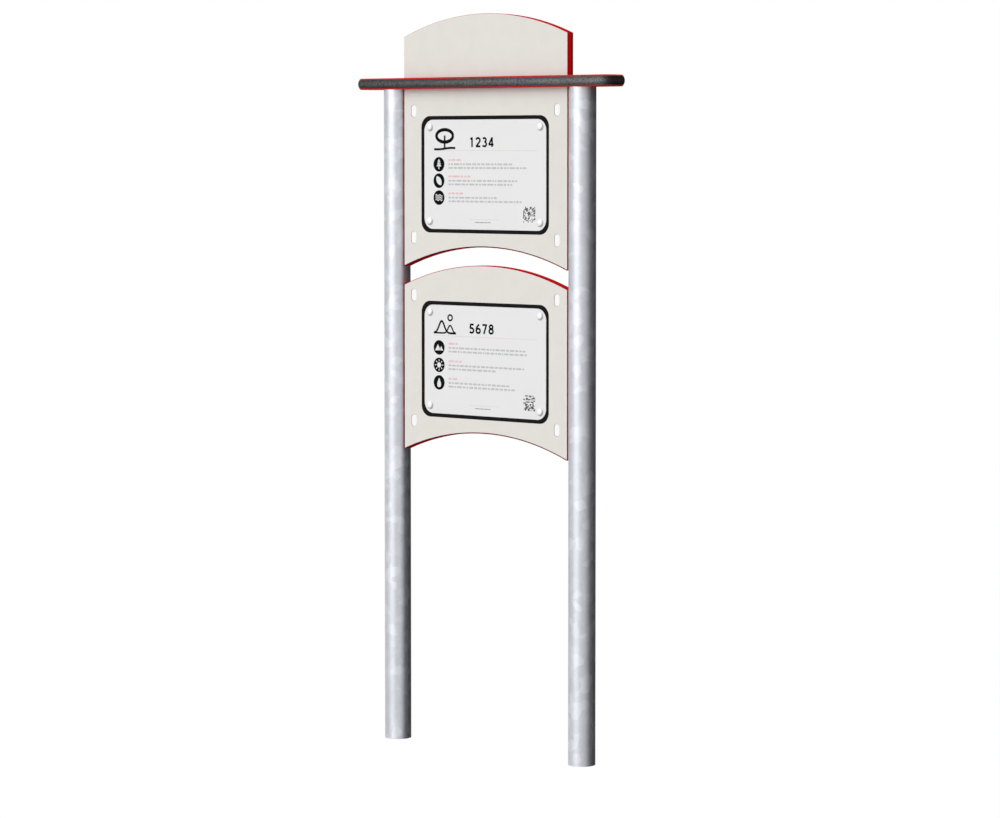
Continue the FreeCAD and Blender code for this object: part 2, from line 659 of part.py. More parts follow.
right_lugs = make_right_lugs()
pieces = [
    make_post("left_post", f"-{POST_X}"),
    make_post("right_post", POST_X),
    make_post_plugs(),
    make_left_lugs(right_lugs),
    right_lugs,
    make_roof(),
    make_roof_bolts(),
]
pieces += make_station("lower", "Dims.lower_centre", "Dims.lower_rise")
pieces += make_station("upper", UPPER_CENTRE, "Dims.header_rise")

doc.recompute()
for item in doc.Objects:
    check(item)
os.makedirs("parts", exist_ok=True)
for piece in pieces:
    assert not piece.Shape.isNull() and piece.Shape.isValid(), piece.Label
for piece in pieces:
    piece.Shape.exportStep(f"parts/{piece.Label}.step")
    print(piece.Label, len(piece.Shape.Solids), "solids,", round(piece.Shape.Volume), "mm3")
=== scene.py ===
"""Dresses a two-post park sign: finishes for its boards, posts and fittings, the prints on its plates, and a
plain studio to see it in. Lengths are in metres: X runs along the sign, Y to its back and Z up."""

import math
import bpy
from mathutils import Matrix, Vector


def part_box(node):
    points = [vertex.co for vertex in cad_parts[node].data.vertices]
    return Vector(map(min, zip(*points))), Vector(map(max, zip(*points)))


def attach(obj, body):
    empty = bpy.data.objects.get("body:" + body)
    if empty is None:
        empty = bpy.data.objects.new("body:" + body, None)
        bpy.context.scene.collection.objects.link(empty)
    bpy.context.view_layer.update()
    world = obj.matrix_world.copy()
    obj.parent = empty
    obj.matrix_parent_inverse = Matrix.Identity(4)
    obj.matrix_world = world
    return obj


bl_info = {
    "name": "Park Sign",
    "version": (1, 0, 0),
    "blender": (4, 5, 0),
    "location": "3D View > Sidebar > Sign",
    "description": "Finishes, plate prints and a studio for a two-post park sign",
    "category": "Object",
}

import bpy
import numpy as np
from bpy.props import FloatProperty, FloatVectorProperty, IntProperty, PointerProperty, StringProperty

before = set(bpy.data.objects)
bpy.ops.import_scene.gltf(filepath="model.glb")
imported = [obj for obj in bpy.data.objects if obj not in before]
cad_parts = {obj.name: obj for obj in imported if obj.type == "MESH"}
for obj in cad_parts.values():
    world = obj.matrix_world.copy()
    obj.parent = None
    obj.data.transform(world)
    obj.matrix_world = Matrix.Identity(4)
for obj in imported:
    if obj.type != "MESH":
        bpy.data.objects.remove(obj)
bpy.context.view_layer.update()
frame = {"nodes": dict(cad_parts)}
NODES = frame["nodes"]
STATIONS = ("upper", "lower")
BLACK = (0.0, 0.0, 0.0)
FULL_TURN = 2 * math.pi


def from_srgb(red, green, blue):
    """Turns a colour of 0 to 255, as a screen shows it, into the linear one that a shader takes."""
    share = np.array([red, green, blue]) / 255
    return tuple(float(x) for x in np.where(share > 0.04045, ((share + 0.055) / 1.055) ** 2.4, share / 12.92))


def colour(name, description, *srgb):
    return FloatVectorProperty(
        name=name, description=description, subtype="COLOR", min=0, max=1, default=from_srgb(*srgb))


def length(name, description, default):
    return FloatProperty(name=name, description=description, unit="LENGTH", precision=5, default=default)


class SignFinish(bpy.types.PropertyGroup):
    board_skin: colour("Board skin", "Pale outer layers of the arched boards", 229, 226, 220)
    board_core: colour("Board core", "Red layer inside the arched boards", 186, 12, 18)
    # The pocket colour is a painted shade on the walls of the pockets round the oblong caps.
    pocket_shade: colour("Pocket", "Shaded walls of the pockets for the oblong caps", 96, 90, 82)
    roof_skin: colour("Roof skin", "Red outer layers of the roof board", 202, 18, 28)
    roof_core: colour("Roof core", "Dark recycled layer inside the roof board", 112, 113, 114)
    plate: colour("Plate", "Information plates", 231, 231, 231)
    frame: colour("Frame", "Frames round the plates", 12, 12, 13)
    cap: colour("Cap", "Caps over screws and bolts", 250, 250, 249)
    zinc: colour("Zinc", "Galvanised posts and lugs", 188, 190, 196)
    spangle: colour("Spangle", "Brightest crystals of the zinc", 226, 229, 233)
    steel: colour("Steel", "Stainless bolts, nuts and washers", 190, 190, 192)
    brass: colour("Brass", "Inserts for the plate screws", 200, 165, 90)
    ink_dark: colour("Dark ink", "Numbers, pictogram discs and drawings", 3, 3, 3)
    ink_soft: colour("Soft ink", "Tiles and small print", 96, 96, 96)
    ink_grey: colour("Grey ink", "Bars of the lines", 195, 195, 196)
    ink_red: colour("Red ink", "Bars of the headings", 229, 198, 200)
    ink_pale: colour("Pale ink", "Rules across a plate", 229, 209, 210)
    board_skin_depth: length("Board skin depth", "Thickness of a board's pale layers", 0.00007)
    roof_skin_depth: length("Roof skin depth", "Thickness of the roof board's red layers", 0.0037)


class SignPrint(bpy.types.PropertyGroup):
    ink_depth: length("Ink depth", "How far a print stands proud of its plate", 0.0001)
    left: length("Left edge", "Plate's middle to the left end of the rule", 0.192)
    right: length("Right edge", "Plate's middle to the right end of the rule", 0.194)
    rule_level: length("Rule level", "Plate's middle to the rule", 0.0675)
    rule_height: length("Rule height", "Height of the rule", 0.0012)
    disc_radius: length("Disc radius", "Radius of a pictogram's disc", 0.0207)
    disc_inset: length("Disc place", "Plate's middle to the middle of the discs", 0.1708)
    row_left: length("Text left", "Plate's middle to the left ends of the bars", 0.135)
    bar_height: length("Bar height", "Height of a text bar", 0.005)
    heading_height: length("Heading height", "Height of a heading bar", 0.0056)
    word_gap: length("Word gap", "Gap between two bars of a line", 0.0028)
    tile_size: length("Tile size", "Side of the tile", 0.0436)
    tile_cells: IntProperty(name="Tile cells", description="Cells along the tile's side", default=13, min=3)
    number_height: length("Number height", "Height of the plate's number", 0.0275)
    number_width: length("Number width", "From the first digit's left to the last one's right", 0.0905)
    number_stroke: length("Number stroke", "Width of a digit's strokes", 0.0056)
    upper_number: StringProperty(name="Upper number", description="Number on the upper plate", default="1234")
    lower_number: StringProperty(name="Lower number", description="Number on the lower plate", default="5678")
    weld_radius: length("Weld radius", "Radius of the beads on the lugs", 0.0032)


class SignStudio(bpy.types.PropertyGroup):
    camera_place: FloatVectorProperty(
        name="Camera place", description="Where the camera stands", subtype="TRANSLATION", unit="LENGTH",
        default=(6.327, -7.294, 1.6977))
    camera_turn: FloatProperty(
        name="Camera turn", description="Heading to the left of the sign's back", subtype="ANGLE",
        default=math.radians(40.734))
    camera_fall: FloatProperty(
        name="Camera fall", description="How far it looks down", subtype="ANGLE", default=math.radians(3.258))
    lens: FloatProperty(name="Lens", description="Focal length", unit="CAMERA", default=123.65)
    shift: FloatProperty(name="Shift", description="Upright shift, in widths of the picture", default=-0.0630)
    key: FloatProperty(name="Key", description="Main light, from the front", default=2.05)
    fill: FloatProperty(name="Fill", description="Second light, from the right", default=0.6)
    back: FloatProperty(name="Back", description="Light from behind", default=1.5)
    sky: FloatProperty(name="Sky", description="Even light from all round", default=0.35, min=0)
    floor_glow: FloatProperty(
        name="Floor glow", description="How far the floor is seen as plain white", subtype="FACTOR",
        default=0.92, min=0, max=1)
    floor_size: length("Floor size", "Side of the floor", 80.0)
    flag_radius: length("Flag radius", "Dark flag that bright metal mirrors, from the sign", 1.6)


def feed(tree, socket, value):
    """Sets a socket, or links it if the value is another socket."""
    if isinstance(value, bpy.types.NodeSocket):
        tree.links.new(value, socket)
    else:
        socket.default_value = value


def add_node(tree, kind, settings=None, **inputs):
    """Adds a shader node. Settings are its own choices, and inputs are values or sockets by name."""
    made = tree.nodes.new(f"ShaderNode{kind}")
    for key, value in (settings or {}).items():
        setattr(made, key, value)
    for key, value in inputs.items():
        feed(tree, made.inputs[key.replace("_", " ")], value)
    return made


def join(tree, operation, level, *others):
    """Joins levels by one operation, from the first to the last."""
    for other in others or (0.0,):
        made = add_node(tree, "Math", {"operation": operation})
        feed(tree, made.inputs[0], level)
        feed(tree, made.inputs[1], other)
        level = made.outputs[0]
    return level


class Finish:
    """A material under construction, with short ways to add its nodes."""

    def __init__(self, name, **sockets):
        self.material = bpy.data.materials.new(name)
        self.material.use_nodes = True
        self.tree = self.material.node_tree
        self.shader = self.tree.nodes["Principled BSDF"]
        for socket, value in sockets.items():
            self.shader.inputs[socket.replace("_", " ")].default_value = value
        self.place = self.node("TexCoord").outputs["Object"]
        self.axes = self.node("SeparateXYZ", Vector=self.place).outputs

    def node(self, kind, settings=None, **inputs):
        return add_node(self.tree, kind, settings, **inputs)

    def facing(self):
        """Gives the parts of the surface's normal along the three axes."""
        return self.node("SeparateXYZ", Vector=self.node("NewGeometry").outputs["Normal"]).outputs

    def math(self, operation, *levels):
        return join(self.tree, operation, *levels)

    def shares(self, *pairs):
        """Adds levels, each multiplied by its share."""
        return self.math("ADD", *(self.math("MULTIPLY", level, share) for level, share in pairs))

    def middle(self, first, second):
        """Gives the mean of two levels."""
        return self.math("MULTIPLY", self.math("ADD", first, second), 0.5)

    def within(self, level, low, high):
        """Marks the places where a level lies between two others."""
        above, below = self.math("GREATER_THAN", level, low), self.math("LESS_THAN", level, high)
        return self.math("MULTIPLY", above, below)

    def stretched(self, x, y, z):
        """Gives the place with each axis scaled, so that a pattern runs longer along a small one."""
        return self.node("Mapping", Vector=self.place, Scale=(x, y, z)).outputs[0]

    def noise(self, scale, detail=3.0, vector=None, output="Fac"):
        return self.node("TexNoise", Vector=vector or self.place, Scale=scale, Detail=detail).outputs[output]

    def cells(self, scale, vector=None, softness=0.0):
        """Gives a random level for each cell of a Voronoi pattern, with cells that blend where soft."""
        made = self.node("TexVoronoi", {"feature": "SMOOTH_F1" if softness else "F1"},
                         Vector=vector or self.place, Scale=scale)
        if softness:
            made.inputs["Smoothness"].default_value = softness
        return self.node("SeparateColor", Color=made.outputs["Color"]).outputs[0]

    def between(self, level, low, high):
        """Stretches a level of 0 to 1 to run from low to high."""
        return self.ramp(level, 0.0, 1.0, low, high, "LINEAR")

    def ramp(self, level, start, end, low=0.0, high=1.0, course="SMOOTHSTEP"):
        """Turns a level that runs from start to end into one from low to high, held beyond both ends."""
        return self.node(
            "MapRange", {"interpolation_type": course}, Value=level, From_Min=start, From_Max=end, To_Min=low,
            To_Max=high).outputs[0]

    def mix_levels(self, share, first, second):
        """Goes from the first level to the second. The node has its sockets for levels at 2 and 3."""
        made = self.node("Mix")
        for index, value in ((0, share), (2, first), (3, second)):
            feed(self.tree, made.inputs[index], value)
        return made.outputs[0]

    def mix(self, share, first, second):
        """Goes from the first colour to the second. The node has its sockets for colours at 6 and 7."""
        made = self.node("Mix", {"data_type": "RGBA"})
        feed(self.tree, made.inputs[0], share)
        for index, value in ((6, first), (7, second)):
            linked = isinstance(value, bpy.types.NodeSocket)
            feed(self.tree, made.inputs[index], value if linked else (*value, 1.0))
        return made.outputs[2]

    def shades(self, base, level, depth):
        """Varies a colour by a level, from darker to lighter by depth either way."""
        dark = tuple(c * (1 - depth) for c in base)
        light = tuple(min(1.0, c * (1 + depth)) for c in base)
        return self.mix(level, dark, light)

    def finish(self, tint, roughness, height, distance, strength):
        """Joins colour, roughness and relief to the shader. The distance is the relief's depth."""
        bump = self.node("Bump", Height=height, Distance=distance, Strength=strength)
        for name, value in (("Base Color", tint), ("Roughness", roughness), ("Normal", bump.outputs[0])):
            feed(self.tree, self.shader.inputs[name], value)
        return self.material


def dress(material, *names):
    """Gives CAD nodes a finish in each of their material slots."""
    for name in names:
        mesh = NODES[name].data
        if not mesh.materials:
            mesh.materials.append(material)
        for index in range(len(mesh.materials)):
            mesh.materials[index] = material


def each_station(*pieces):
    return [f"{station}_{piece}" for station in STATIONS for piece in pieces]


# How far the border between a board's layers wanders either way
LAYER_WANDER = 0.00004
# Reach of the painted shade lining round an oblong cap, and how far in from the caps' outer sides it may lie
POCKET_MARGIN = 0.001
POCKET_SPAN = 0.03
# Radius of the boards' arcs, and how far the core shows beside them
ARCH_RADIUS = 0.8
RIM_WIDTH = 0.0019
# How far in from a board's ends a point still belongs to its upright edges
EDGE_DEPTH = 0.002
# Shares of the roof board's half length between which its core grows dark round the ends
ROOF_ENDS = (0.93, 0.99)
# Share of its colour that painted shade leaves a cap's rim, its lean to the lower right, and the parts of the
# normal along Y between which it fades
CAP_RIM_SHADE = 0.42
CAP_RIM_SHADE_LEAN = 0.12
CAP_RIM_SHADE_BORDER = (-0.86, -0.94)


def layered_board(name, gloss, depth, axis, low, high):
    """Starts a sheet of three layers, and marks its skins: all within depth of either face along the axis."""
    made = Finish(name, Specular_IOR_Level=gloss)
    wander = made.between(made.noise(220.0, detail=2.0), -LAYER_WANDER, LAYER_WANDER)
    along = made.math("ADD", made.axes[axis], wander)
    skins = made.math(
        "MAXIMUM", made.math("LESS_THAN", along, low + depth), made.math("GREATER_THAN", along, high - depth))
    return made, skins


def pocket_shade_walls(made, aside):
    """Marks the walls of the pockets for the oblong caps, which are given a painted shade."""
    linings = []
    for station in STATIONS:
        near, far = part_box(f"{station}_fixing_caps")
        linings.append(made.math(
            "MULTIPLY", made.within(made.axes[2], near.z - POCKET_MARGIN, far.z + POCKET_MARGIN),
            made.within(aside, far.x - POCKET_SPAN, far.x + POCKET_MARGIN)))
    return made.math("MAXIMUM", *linings)


def arc_rims(made, half_width):
    """Gives two marks: for the rims of both boards' hollow arcs, and for those with the lower board's top.

    A rim is where the distance to the arc's middle differs from its radius by less than the rim's width.
    """
    flat = made.node("CombineXYZ", X=made.axes[0], Z=made.axes[2]).outputs[0]

    def beside(level):
        reach = made.node("VectorMath", {"operation": "DISTANCE"}, Vector=flat)
        reach.inputs[1].default_value = (0.0, 0.0, level)
        off = made.math("SUBTRACT", reach.outputs["Value"], ARCH_RADIUS)
        return made.math("LESS_THAN", made.math("ABSOLUTE", off), RIM_WIDTH)

    fall = math.sqrt(ARCH_RADIUS ** 2 - half_width ** 2)
    under = made.math("MAXIMUM", *(beside(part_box(name)[0].z - fall) for name in each_station("board")))
    return under, made.math("MAXIMUM", under, beside(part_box("lower_board")[1].z - ARCH_RADIUS))


def board_finish(colours):
    """Arched boards: pale skins with a fine grain, and a matt red core with cutter marks on its edges.

    The core also shows in a narrow rim along the arcs, where the skins are rounded off, except on the
    header's top. Painted shade darkens it along the undersides, and on the upright edges towards the back.
    """
    low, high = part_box("upper_board")
    made, skins = layered_board(
        "board_finish", gloss=0.02, depth=colours.board_skin_depth, axis=1, low=low.y, high=high.y)
    aside = made.math("ABSOLUTE", made.axes[0])
    under, rims = arc_rims(made, high.x)
    skins = made.math("MULTIPLY", skins, made.math("SUBTRACT", 1.0, rims))
    cloud = made.noise(26.0, detail=4.0)
    grain = made.noise(900.0, detail=2.0)
    marks = made.noise(1.0, vector=made.stretched(420.0, 26.0, 420.0))
    pale = made.shades(colours.board_skin, made.shares((cloud, 0.65), (grain, 0.35)), 0.055)
    core = made.shades(colours.board_core, marks, 0.22)
    # Painted shade: the core darkens along the undersides of the arcs, and towards the back on the upright
    # edges.
    sides = made.math("GREATER_THAN", aside, high.x - EDGE_DEPTH)
    back = made.ramp(made.axes[1], (low.y + high.y) / 2, high.y, high=0.85)
    shade = made.ramp(made.facing()[2], -0.1, -0.6, low=0.7, high=0.45, course="LINEAR")
    shade = made.math("MAXIMUM", made.math("MULTIPLY", under, shade), made.math("MULTIPLY", sides, back))
    core = made.mix(shade, core, BLACK)
    # Painted shade on the pocket walls round the oblong caps.
    core = made.mix(pocket_shade_walls(made, aside), core, colours.pocket_shade)
    rougher = made.math("MULTIPLY", made.math("SUBTRACT", 1.0, skins), 0.5)
    roughness = made.math("ADD", made.between(cloud, 0.44, 0.56), rougher)
    relief = made.mix_levels(skins, marks, grain)
    return made.finish(made.mix(skins, core, pale), roughness, relief, distance=0.00025, strength=0.45)


def roof_finish(colours):
    """Roof board: red skins with painted shade where they lie flat, above and below a dark core with a fine
    fleck.

    The core carries painted shade, which makes it lighter from left to right and towards its middle level,
    and it is dark round the ends.
    """
    low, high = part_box("roof_board")
    made, skins = layered_board(
        "roof_finish", gloss=0.12, depth=colours.roof_skin_depth, axis=2, low=low.z, high=high.z)
    grain = made.noise(700.0)
    patches = made.middle(grain, made.noise(18.0))
    red = made.shades(colours.roof_skin, patches, 0.2)
    # Painted shade on the flat top and underside of the red skins.
    flat = made.between(made.math("ABSOLUTE", made.facing()[2]), -0.5, 0.35)
    red = made.mix(made.math("MAXIMUM", flat, 0.0), red, BLACK)
    middle, half = (low.z + high.z) / 2, (high.z - low.z) / 2
    starts, stops = (high.x * share for share in ROOF_ENDS)
    ends = made.ramp(made.math("ABSOLUTE", made.axes[0]), starts, stops, 1.0, 0.1)
    # Painted shade: the core darkens from its middle level towards the skins, and from right to left.
    off = made.math("ABSOLUTE", made.math("SUBTRACT", made.axes[2], middle))
    edges = made.ramp(off, 0.0, half - colours.roof_skin_depth, 1.0, 0.35)
    fade = made.ramp(made.axes[0], low.x, high.x, 0.4, 1.0, "LINEAR")
    core = made.shades(colours.roof_core, made.cells(330.0), 0.5)
    core = made.mix(made.math("MULTIPLY", ends, edges, fade), BLACK, core)
    marks = made.noise(1.0, detail=2.0, vector=made.stretched(500.0, 500.0, 20.0))
    relief = made.shares((grain, 0.5), (marks, 0.5))
    roughness = made.between(patches, 0.4, 0.6)
    return made.finish(made.mix(skins, core, red), roughness, relief, distance=0.0003, strength=0.4)


def zinc_finish(name, colours, shine, dullness):
    """Hot-dip zinc: soft crystals about 30 mm across, some far brighter, with fine flakes and long runs."""
    made = Finish(name, Metallic=shine)
    waves = made.noise(30.0, detail=2.0, output="Color")
    warp = made.node("VectorMath", {"operation": "SCALE"}, Vector=waves, Scale=0.012)
    bent = made.node("VectorMath", {"operation": "ADD"}, Vector=made.place)
    feed(made.tree, bent.inputs[1], warp.outputs[0])
    crystals = made.cells(38.0, bent.outputs[0], softness=0.2)
    flakes = made.cells(110.0, bent.outputs[0], softness=0.2)
    runs = made.noise(1.0, vector=made.stretched(60.0, 60.0, 5.0))
    level = made.shares((crystals, 0.35), (flakes, 0.25), (runs, 0.4))
    bright = made.math("MULTIPLY", made.ramp(crystals, 0.55, 0.95), 0.22)
    tint = made.mix(bright, made.shades(colours.zinc, level, 0.1), colours.spangle)
    relief = made.shares((runs, 0.7), (flakes, 0.1))
    roughness = made.between(level, dullness, dullness + 0.12)
    return made.finish(tint, roughness, relief, distance=0.0002, strength=0.35)


def plate_finish(colours):
    """Laminate plates: a satin face with a faint orange-peel texture."""
    made = Finish("plate_finish", Coat_Weight=0.15, Coat_Roughness=0.3)
    cloud = made.noise(9.0)
    peel = made.noise(480.0, detail=2.0)
    tint = made.shades(colours.plate, made.middle(cloud, peel), 0.025)
    return made.finish(tint, made.between(cloud, 0.34, 0.44), peel, distance=0.0001, strength=0.3)


def frame_finish(colours):
    """Moulded rubber frames: fine speckle, with a grey bloom in patches."""
    made = Finish("frame_finish", Specular_IOR_Level=0.06)
    bloom = made.noise(35.0, detail=4.0)
    speckle = made.noise(1400.0, detail=2.0)
    tint = made.shades(colours.frame, made.middle(bloom, speckle), 0.45)
    return made.finish(tint, made.between(bloom, 0.4, 0.58), speckle, distance=0.0002, strength=0.4)


def cap_finish(colours):
    """Moulded caps: smooth white plastic with slight flow waves, and painted shade where a cap turns from the
    front.

    The painted shade lies a little further forward on the lower right of a cap.
    """
    made = Finish("cap_finish", Coat_Weight=0.3, Coat_Roughness=0.15)
    flow = made.noise(160.0, detail=2.0)
    fine = made.noise(1800.0, detail=2.0)
    normal = made.facing()
    # Painted shade round each cap's rim, leaning to the lower right.
    lean = made.math("MULTIPLY", made.math("SUBTRACT", normal[0], normal[2]), CAP_RIM_SHADE_LEAN)
    front = made.ramp(made.math("ADD", normal[1], lean), *CAP_RIM_SHADE_BORDER)
    rim_shade_tint = tuple(c * CAP_RIM_SHADE for c in colours.cap)
    tint = made.mix(front, rim_shade_tint, made.shades(colours.cap, flow, 0.02))
    return made.finish(tint, made.between(flow, 0.24, 0.34), fine, distance=0.00006, strength=0.3)


def turned_metal(name, base, roughness):
    """Turned or rolled metal: fine rings and scratches of uneven tone."""
    made = Finish(name, Metallic=1.0)
    scratches = made.noise(1.0, vector=made.stretched(900.0, 120.0, 900.0))
    cloud = made.noise(60.0)
    tint = made.shades(base, made.middle(scratches, cloud), 0.12)
    roughness = made.between(scratches, roughness, roughness + 0.14)
    return made.finish(tint, roughness, scratches, distance=0.00008, strength=0.4)


def ink(name, base):
    """Screen-printed ink: nearly even, with pinholes of slightly other tone."""
    made = Finish(name, Specular_IOR_Level=0.04)
    film = made.noise(120.0)
    pinholes = made.noise(1500.0, detail=2.0)
    tint = made.shades(base, made.middle(film, pinholes), 0.07)
    return made.finish(tint, made.between(film, 0.4, 0.5), pinholes, distance=0.00004, strength=0.3)


def skin(name, *groups):
    """Makes one mesh of closed skins. Each group is an array of (bodies, rings, points, 3).

    Rings follow each other along a body, their points run anticlockwise as seen from its first ring, and
    every ring joins the next with quads. The first and last rings are closed with one face each.
    """
    points, faces, start = [], [], 0
    for rings in groups:
        bodies, count, around, _ = rings.shape
        index = start + np.arange(bodies * count * around).reshape(bodies, count, around)
        here, after = index[:, :-1], index[:, 1:]
        quads = np.stack([here, after, np.roll(after, -1, 2), np.roll(here, -1, 2)], axis=-1)
        faces += quads.reshape(-1, 4).tolist()
        faces += index[:, 0].tolist() + index[:, -1, ::-1].tolist()
        points.append(rings.reshape(-1, 3))
        start += bodies * count * around
    mesh = bpy.data.meshes.new(name)
    mesh.from_pydata(np.concatenate(points).tolist(), [], faces)
    mesh.update()
    piece = bpy.data.objects.new(name, mesh)
    bpy.context.scene.collection.objects.link(piece)
    return piece


def settle(piece, material):
    """Gives a new piece its finish, its body and the material slot it belongs to."""
    piece.data.materials.append(material)
    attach(piece, "root")


def face_of(station):
    """Gives the middle of a plate's face: x, y and z."""
    low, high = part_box(f"{station}_info_plate")
    return (low.x + high.x) / 2, low.y, (low.z + high.z) / 2


def stamped(station, outlines, depth, base=0.0):
    """Raises flat shapes off a plate's face.

    The outlines are (shapes, points, 2), across and up from the plate's middle, anticlockwise as seen from
    the front. Two rings make each shape: one depth in front of the face plus base, and one just under it.
    """
    x, y, z = face_of(station)
    outlines = np.asarray(outlines, float)
    shapes, count, _ = outlines.shape
    rings = np.empty((shapes, 2, count, 3))
    rings[..., 0] = x + outlines[:, None, :, 0]
    rings[..., 2] = z + outlines[:, None, :, 1]
    rings[:, 0, :, 1] = y - base - depth
    rings[:, 1, :, 1] = y - base + depth / 2
    return rings


def stamp(station, name, outlines, film, depth):
    """Prints flat shapes on a plate as one piece."""
    settle(skin(f"{station}_{name}", stamped(station, outlines, depth)), film)


def ribbon(station, path, width, depth, base):
    """Raises a line of constant width off a plate's face: a flat section carried along a path (points, 2)."""
    x, y, z = face_of(station)
    run = np.gradient(path, axis=0)
    run /= np.linalg.norm(run, axis=1, keepdims=True)
    side = np.stack([-run[:, 1], run[:, 0]], axis=1) * width / 2
    front, back = y - base - depth, y - base + depth / 2
    rings = np.empty((1, len(path), 4, 3))
    for corner, (sign, level) in enumerate(((1, front), (1, back), (-1, back), (-1, front))):
        rings[0, :, corner, 0] = x + path[:, 0] + sign * side[:, 0]
        rings[0, :, corner, 1] = level
        rings[0, :, corner, 2] = z + path[:, 1] + sign * side[:, 1]
    return rings


# Step between crossing strokes, so that no two of their faces lie in one plane
INK_STEP = 0.00002


def strokes(station, lines, depth):
    """Raises strokes that may cross, each a pair of path and width, as ribbons one small step apart."""
    return [
        ribbon(station, path, width, depth, order * INK_STEP)
        for order, (path, width) in enumerate(lines)
    ]


def sweep(x, y, wide, high, first=0, last=360, steps=33):
    """Part of an ellipse: centre + (wide * cos t, high * sin t), with t in degrees from first to last."""
    turn = np.radians(np.linspace(first, last, steps))
    return np.stack([x + wide * np.cos(turn), y + high * np.sin(turn)], axis=1)


def straight(*ends):
    """A straight stroke between two points."""
    return np.linspace(*ends, 2)


def round_bars(left, level, widths, height, steps=8):
    """Outlines of bars with round ends. The corner arcs are centre + radius * (cos t, sin t)."""
    left, level, widths = np.broadcast_arrays(*np.atleast_1d(left, level, widths))
    turn = np.concatenate([np.linspace(a, a + math.pi, steps) for a in (-math.pi / 2, math.pi / 2)])
    side = np.repeat([1.0, -1.0], steps)
    radius = height / 2
    across = (left + widths / 2)[:, None] + side * (widths / 2 - radius)[:, None] + radius * np.cos(turn)
    up = level[:, None] + radius * np.sin(turn)
    return np.stack([across, up], axis=-1)


def discs(centres, radius, steps=48):
    """Outlines of circles: centre + radius * (cos t, sin t)."""
    turn = np.linspace(0, FULL_TURN, steps, endpoint=False)
    ring = radius * np.stack([np.cos(turn), np.sin(turn)], axis=-1)
    return np.asarray(centres, float)[:, None, :] + ring


# Places on a plate are across and up from its middle. These are the levels of its three rows' discs
ROW_LEVELS = {"upper": (0.0286, -0.0179, -0.0658), "lower": (0.0333, -0.0165, -0.0665)}
# Right ends of each row's heading and its two lines
LINE_ENDS = {
    "upper": ((-0.088, 0.103, 0.155), (-0.052, 0.121, 0.103), (-0.079, 0.046, 0.137)),
    "lower": ((-0.100, 0.152, 0.157), (-0.085, 0.147, 0.042), (-0.102, 0.092, 0.112)),
}
# Levels of the heading and the lines above the middle of the disc
HEADING_RISE = 0.0123
LINE_RISES = (0.0003, -0.0101)
# Left end, level and length of the rule at the foot
FOOT_RULE = (-0.0565, -0.126, 0.1115)
# Ends, level, height and gap of the small print's bars
SMALL_PRINT_ENDS = (-0.035, 0.0225)
SMALL_PRINT_LEVEL, SMALL_PRINT_HEIGHT, SMALL_PRINT_GAP = -0.1345, 0.0024, 0.0012
# Lower left corner of the number, middles of drawing and tile, and share of the tile's cells that are dark
NUMBER_CORNER = (-0.0565, 0.0772)
DRAWING_PLACE = (-0.149, 0.105)
TILE_PLACE = (0.165, -0.110)
TILE_FILL = 0.42
# A bar's mean length with its gap, and the shortest and longest share of it
WORD_PITCH = 0.0155
WORD_SHARES = (0.45, 1.6)
# Seeds of the random draws
TEXT_SEED, SMALL_PRINT_SEED, TILE_SEED = 11, 5, 29


def words(left, right, gap, draw):
    """Splits a line into bars of uneven length: random shares, scaled so that the last one ends at right."""
    count = max(1, round((right - left) / WORD_PITCH))
    shares = draw.uniform(*WORD_SHARES, count)
    widths = shares / shares.sum() * (right - left - gap * (count - 1))
    starts = left + np.concatenate([[0.0], np.cumsum(widths[:-1] + gap)])
    return starts, widths


def tree_sign():
    """Three tiers and a trunk.

    Like the other signs, it is a list of outlines, each (shapes, points, 2), in a disc of radius 1.
    """
    feet = np.array([-0.28, 0.02, 0.32])
    halves = np.array([0.46, 0.38, 0.28])
    tops = feet + np.array([0.5, 0.44, 0.42])
    corners = ((-halves, feet), (halves, feet), (0 * tops, tops))
    tiers = np.stack([np.stack(corner, axis=1) for corner in corners], axis=1)
    return [tiers, np.array([[(-0.08, -0.66), (0.08, -0.66), (0.08, -0.26), (-0.08, -0.26)]])]


def leaf_sign():
    """A leaning blade, (wide * sin t * sqrt |sin t|, -high * cos t)."""
    turn = np.linspace(0, FULL_TURN, 40, endpoint=False)
    blade = np.stack([0.42 * np.sin(turn) * np.abs(np.sin(turn)) ** 0.5, -0.72 * np.cos(turn)], axis=1)
    lean = np.array([[0.82, -0.57], [0.57, 0.82]])
    return [(blade @ lean.T)[None]]


def peaks_sign():
    """Two triangles side by side."""
    left = [(-0.74, -0.42), (0.3, -0.42), (-0.22, 0.46)]
    right = [(0.02, -0.42), (0.76, -0.42), (0.4, 0.2)]
    return [np.array([left, right])]


def drop_sign():
    """A drop, (wide * sin t * sin(t / 2) ** 1.4, high * cos t), with its tip at the top."""
    turn = np.linspace(0, FULL_TURN, 40, endpoint=False)
    return [np.stack([0.5 * np.sin(turn) * np.sin(turn / 2) ** 1.4, 0.66 * np.cos(turn)], axis=1)[None]]


def sun_sign():
    """A disc and eight bars, each turned by 45 degrees more: (x cos t - y sin t, x sin t + y cos t)."""
    turn = np.arange(8) * math.pi / 4
    ray = np.array([(0.5, -0.06), (0.78, -0.06), (0.78, 0.06), (0.5, 0.06)])
    cos, sin = np.cos(turn)[:, None], np.sin(turn)[:, None]
    rays = np.stack([cos * ray[:, 0] - sin * ray[:, 1], sin * ray[:, 0] + cos * ray[:, 1]], axis=-1)
    return [rays, discs([(0.0, 0.0)], 0.36, 32)]


